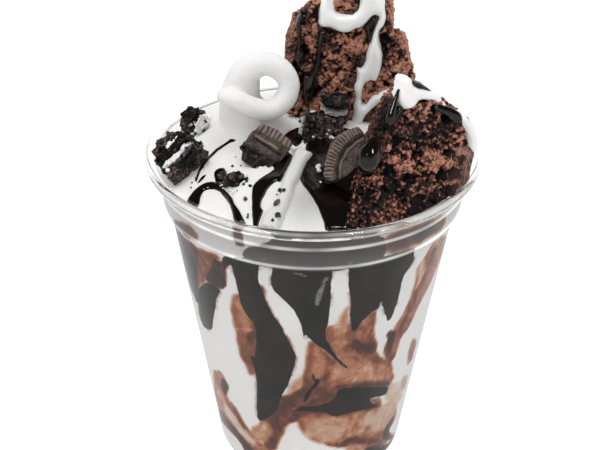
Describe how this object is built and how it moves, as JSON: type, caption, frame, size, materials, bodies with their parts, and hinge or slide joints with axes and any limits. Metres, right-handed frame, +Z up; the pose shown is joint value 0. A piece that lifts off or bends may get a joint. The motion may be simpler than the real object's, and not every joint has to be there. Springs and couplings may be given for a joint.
{
  "type": "ice cream sundae",
  "caption": "Sundae in a clear tapered cup: marbled soft serve with a curled tip, hot fudge, brownie lumps and broken sandwich cookies",
  "frame": {"origin": "centre of the cup's foot, on the surface that it stands on", "axes": "+Z up along the cup's axis; the side towards the viewer of the picture is -Y, and +X is to its right"},
  "size_m": [0.098, 0.098, 0.1445],
  "materials": {
    "clear_plastic": "clear, glossy thin thermoformed plastic",
    "soft_serve": "smooth satin frozen cream, marbled with fudge below the rim",
    "hot_fudge": "glossy thick chocolate sauce",
    "brownie": "coarse crumb with glossy fudge and white topping drizzles",
    "chocolate_wafer": "dark dry wafer with a crumbly broken edge",
    "cookie_cream": "firm matte white filling"
  },
  "bodies": {
    "root": {"brownie_back": "brownie", "brownie_front": "brownie", "cookie_crumb_wafer": "chocolate_wafer", "cookie_front": "chocolate_wafer", "cookie_middle_cream": "cookie_cream", "cookie_middle_wafer": "chocolate_wafer", "cookie_rear_cream": "cookie_cream", "cookie_rear_wafer": "chocolate_wafer", "cookie_right": "chocolate_wafer", "cookie_side_cream": "cookie_cream", "cookie_side_wafer_back": "chocolate_wafer", "cookie_side_wafer_front": "chocolate_wafer", "cookie_top_cream": "cookie_cream", "cookie_top_wafer_lower": "chocolate_wafer", "cookie_top_wafer_upper": "chocolate_wafer", "cup": "clear_plastic", "hot_fudge": "hot_fudge", "soft_serve": "soft_serve"}
  },
  "joints": []
}
